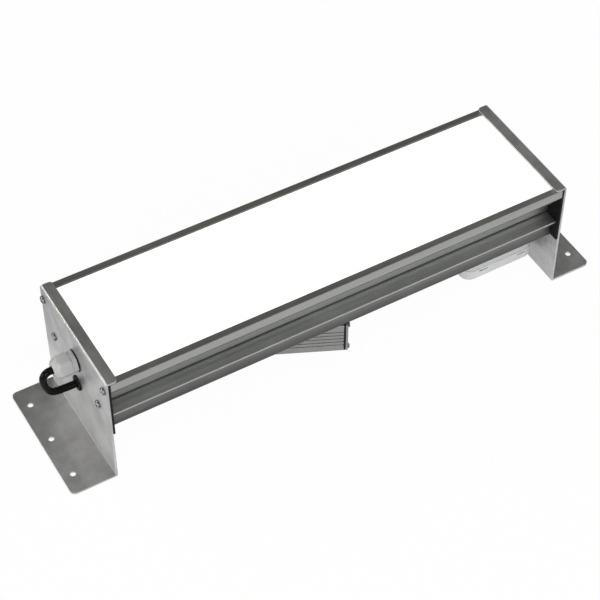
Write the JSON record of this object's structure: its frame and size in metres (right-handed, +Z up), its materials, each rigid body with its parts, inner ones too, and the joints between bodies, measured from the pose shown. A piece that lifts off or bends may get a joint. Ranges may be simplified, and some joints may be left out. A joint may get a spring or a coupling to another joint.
{
  "type": "linear industrial led light fixture",
  "caption": "Linear aluminium light bar with white opal diffuser between Z-bent steel end brackets, with cable gland, driver and junction box underneath.",
  "frame": {"origin": "centre of the plane that the two feet stand on", "axes": "+X along the housing away from the cable gland, +Z up out of the diffuser"},
  "size_m": [0.638, 0.15, 0.145],
  "materials": {
    "anodised_profile": "dark grey anodised aluminium, satin",
    "black_rubber": "matt black",
    "board_white": "white light board",
    "box_lid_plastic": "pale translucent plastic",
    "box_plastic": "pale grey moulded plastic",
    "dark_screw": "dark screw heads",
    "driver_shell": "grey ribbed aluminium",
    "green_board": "green circuit board",
    "grey_nylon": "light grey moulded nylon",
    "lead_jacket": "smooth black cable jacket",
    "opal_diffuser": "white opal, lit from inside",
    "stainless_sheet": "satin stainless steel sheet",
    "white_plastic": "white moulded plastic",
    "zinc_steel": "zinc plated"
  },
  "bodies": {
    "fixture": {"box_base": "box_plastic", "box_clamp_bar": "zinc_steel", "box_entry_grommet": "black_rubber", "box_left_far_membrane": "grey_nylon", "box_left_near_membrane": "grey_nylon", "box_lid": "box_lid_plastic", "box_screw_1": "zinc_steel", "box_screw_2": "zinc_steel", "box_seal": "black_rubber", "box_side_membrane": "grey_nylon", "cable_grommet": "black_rubber", "diffuser": "opal_diffuser", "driver_clamp_bar": "zinc_steel", "gland_body": "grey_nylon", "gland_locknut": "grey_nylon", "gland_seal": "black_rubber", "gland_washer": "black_rubber", "housing_profile": "anodised_profile", "led_board_left": "board_white", "led_board_right": "board_white", "led_connector": "white_plastic", "left_bracket": "stainless_sheet", "left_bracket_screw_1": "dark_screw", "left_bracket_screw_2": "dark_screw", "left_bracket_screw_3": "dark_screw", "left_bracket_screw_4": "dark_screw", "left_end_gasket": "black_rubber", "right_bracket": "stainless_sheet", "right_bracket_screw_1": "dark_screw", "right_bracket_screw_2": "dark_screw", "right_bracket_screw_3": "dark_screw", "right_bracket_screw_4": "dark_screw", "right_end_gasket": "black_rubber", "supply_lead": "lead_jacket", "terminal_block": "white_plastic"},
    "driver": {"driver_bolt": "zinc_steel", "driver_case": "driver_shell", "driver_circuit": "green_board", "driver_left_end_gasket": "black_rubber", "driver_left_end_plate": "driver_shell", "driver_left_end_screw_1": "zinc_steel", "driver_left_end_screw_2": "zinc_steel", "driver_left_end_screw_3": "zinc_steel", "driver_left_end_screw_4": "zinc_steel", "driver_left_inlet": "black_rubber", "driver_right_end_gasket": "black_rubber", "driver_right_end_plate": "driver_shell", "driver_right_end_screw_1": "zinc_steel", "driver_right_end_screw_2": "zinc_steel", "driver_right_end_screw_3": "zinc_steel", "driver_right_end_screw_4": "zinc_steel", "driver_right_inlet": "black_rubber", "driver_washer": "zinc_steel"},
    "gland_ring": {"gland_clamp_ring": "grey_nylon"},
    "gland_nut": {"gland_cap_nut": "grey_nylon"}
  },
  "joints": [
    {"name": "driver_swivel", "type": "hinge", "parent": "fixture", "child": "driver", "pos_m": [-0.0603, 0, 0.0674], "axis": [0, 0, 1], "range_deg": [-20, 70]},
    {"name": "gland_ring_slide", "type": "slide", "parent": "fixture", "child": "gland_ring", "axis": [-1, 0, 0], "range_m": [0, 0.0027]},
    {"name": "gland_nut_turn", "type": "hinge", "parent": "gland_ring", "child": "gland_nut", "pos_m": [-0.27, 0, 0.1056], "axis": [-1, 0, 0], "range_deg": [0, 630]}
  ],
  "couplings": [
    {"joint": "gland_ring_slide", "follows": "gland_nut_turn", "m_per_rad": 0.00023873}
  ]
}
